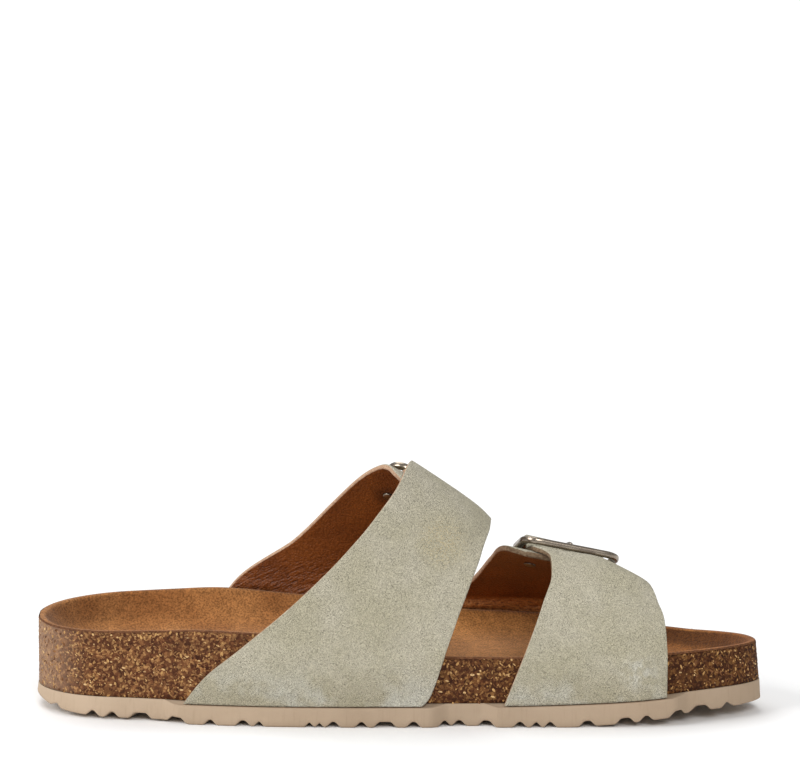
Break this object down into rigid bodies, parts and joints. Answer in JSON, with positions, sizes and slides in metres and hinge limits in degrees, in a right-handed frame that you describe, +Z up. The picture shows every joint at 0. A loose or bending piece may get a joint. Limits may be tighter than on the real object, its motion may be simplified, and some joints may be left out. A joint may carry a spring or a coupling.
{
  "type": "slide sandal",
  "caption": "Left slide sandal with a contoured cork footbed, foam outsole with zigzag tread and broad suede straps closed by buckles over the instep and the ball of the foot.",
  "frame": {"origin": "on the floor under the centre of the bounding box", "axes": "+X toward the toe, +Z up, medial side at -Y"},
  "size_m": [0.26, 0.0946, 0.0889],
  "materials": {
    "foam_sole": "matte moulded foam",
    "cork": "pressed cork granules, sealed",
    "footbed_suede": "brushed suede",
    "strap_suede": "brushed suede outside, smooth brown lining",
    "buckle_metal": "antique nickel",
    "rivet_metal": "nickel"
  },
  "bodies": {
    "root": {"footbed": "cork", "front_buckle_frame": "buckle_metal", "front_buckle_keeper": "strap_suede", "front_buckle_prong": "buckle_metal", "front_rivet_back": "rivet_metal", "front_rivet_fore": "rivet_metal", "front_strap": "strap_suede", "insole": "footbed_suede", "outsole": "foam_sole", "rear_buckle_frame": "buckle_metal", "rear_buckle_keeper": "strap_suede", "rear_buckle_prong": "buckle_metal", "rear_rivet_back": "rivet_metal", "rear_rivet_fore": "rivet_metal", "rear_strap": "strap_suede"}
  },
  "joints": []
}
